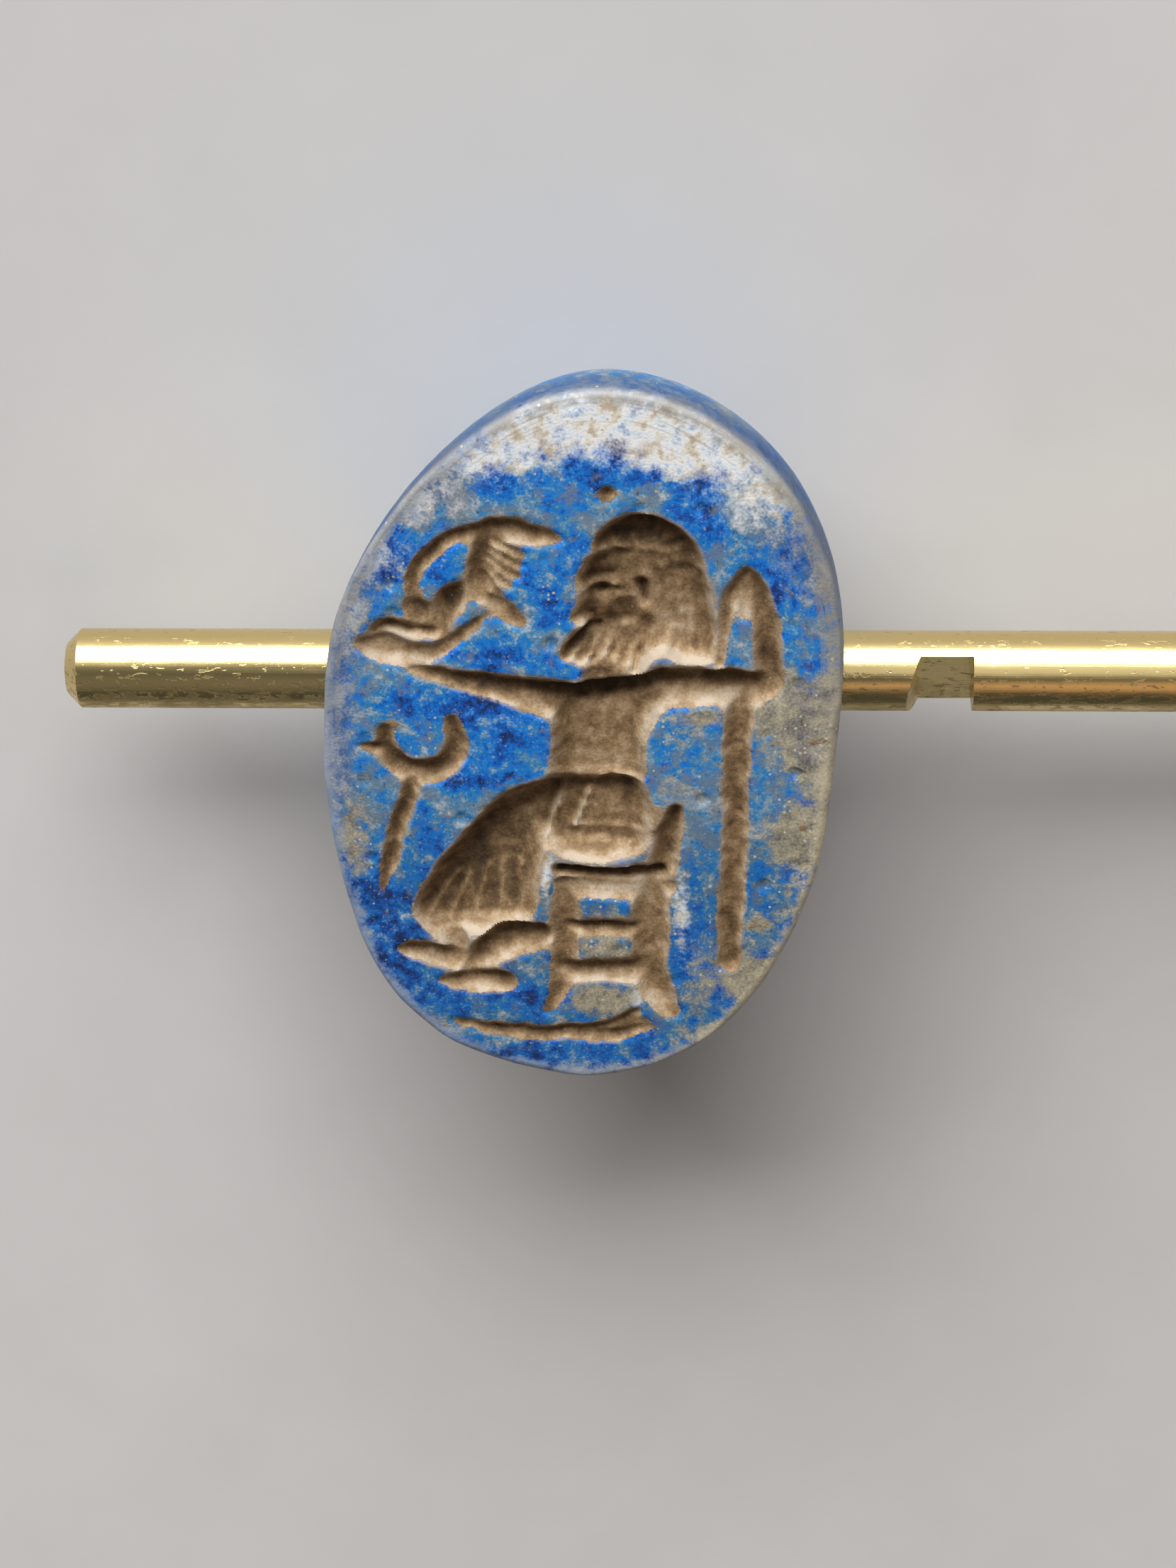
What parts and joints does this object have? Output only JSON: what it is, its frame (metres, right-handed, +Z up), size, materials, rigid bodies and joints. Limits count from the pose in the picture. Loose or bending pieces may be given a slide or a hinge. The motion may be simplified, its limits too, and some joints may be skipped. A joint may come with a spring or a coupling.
{
  "type": "intaglio seal on a rod",
  "caption": "Oval lapis lazuli stamp seal with a sunk-carved seated figure, domed back and cross bore, threaded on a plain notched brass rod.",
  "frame": {"origin": "middle of the flat spot on the seal's back, on the surface that the seal lies on", "axes": "+X along the rod towards its longer end, +Y towards the top of the carved scene, +Z up, out of the carved face"},
  "size_m": [0.05, 0.0273, 0.0106],
  "materials": {
    "lapis": "worn polished lapis lazuli, mottled deep to sky blue with cream calcite, fine pyrite glints and brown earth in the cuts",
    "brass": "bright drawn brass with fine scuffs and a darker lower side"
  },
  "bodies": {
    "root": {"seal_stone": "lapis", "brass_rod": "brass"}
  },
  "joints": []
}
